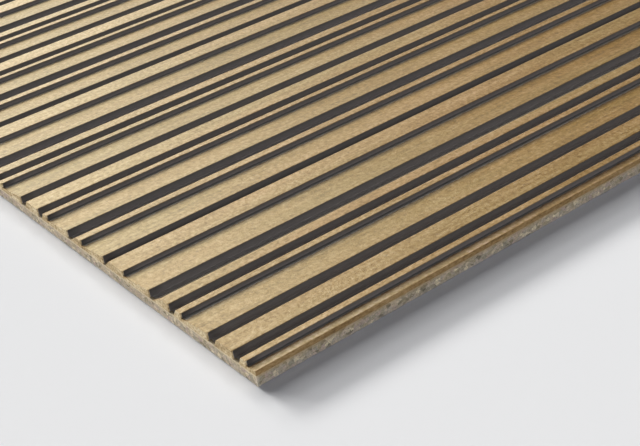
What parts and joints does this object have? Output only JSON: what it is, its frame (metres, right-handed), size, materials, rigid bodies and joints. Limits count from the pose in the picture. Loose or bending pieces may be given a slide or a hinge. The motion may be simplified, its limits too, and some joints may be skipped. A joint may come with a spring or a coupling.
{
  "type": "flexible grooved wood wall panel",
  "caption": "Thin flexible wall panel: flat and wedge-shaped wood strips of uneven widths, parted by dark grooves, on a speckled chip backing sheet.",
  "frame": {"origin": "centre of the back face, which lies on the floor", "axes": "+X along the strips, +Y across the strips, +Z out of the patterned face"},
  "size_m": [1.2, 0.6, 0.006],
  "materials": {
    "backing": "pressed grey and beige chips, fine speckle, matt cut edges",
    "face_wood": "fine straight grained pale oak, satin, with the grooves between the strips painted near black"
  },
  "bodies": {
    "root": {"backing_sheet": "backing", "thin_strips_1": "face_wood", "flat_strips_1": "face_wood", "wedge_strips_1": "face_wood", "thin_strips_2": "face_wood", "thin_strips_3": "face_wood", "wedge_strips_2": "face_wood", "flat_strips_2": "face_wood", "wedge_strips_3": "face_wood", "thin_strips_4": "face_wood", "wedge_strips_4": "face_wood", "edge_strip_near": "face_wood", "edge_strip_far": "face_wood"}
  },
  "joints": []
}
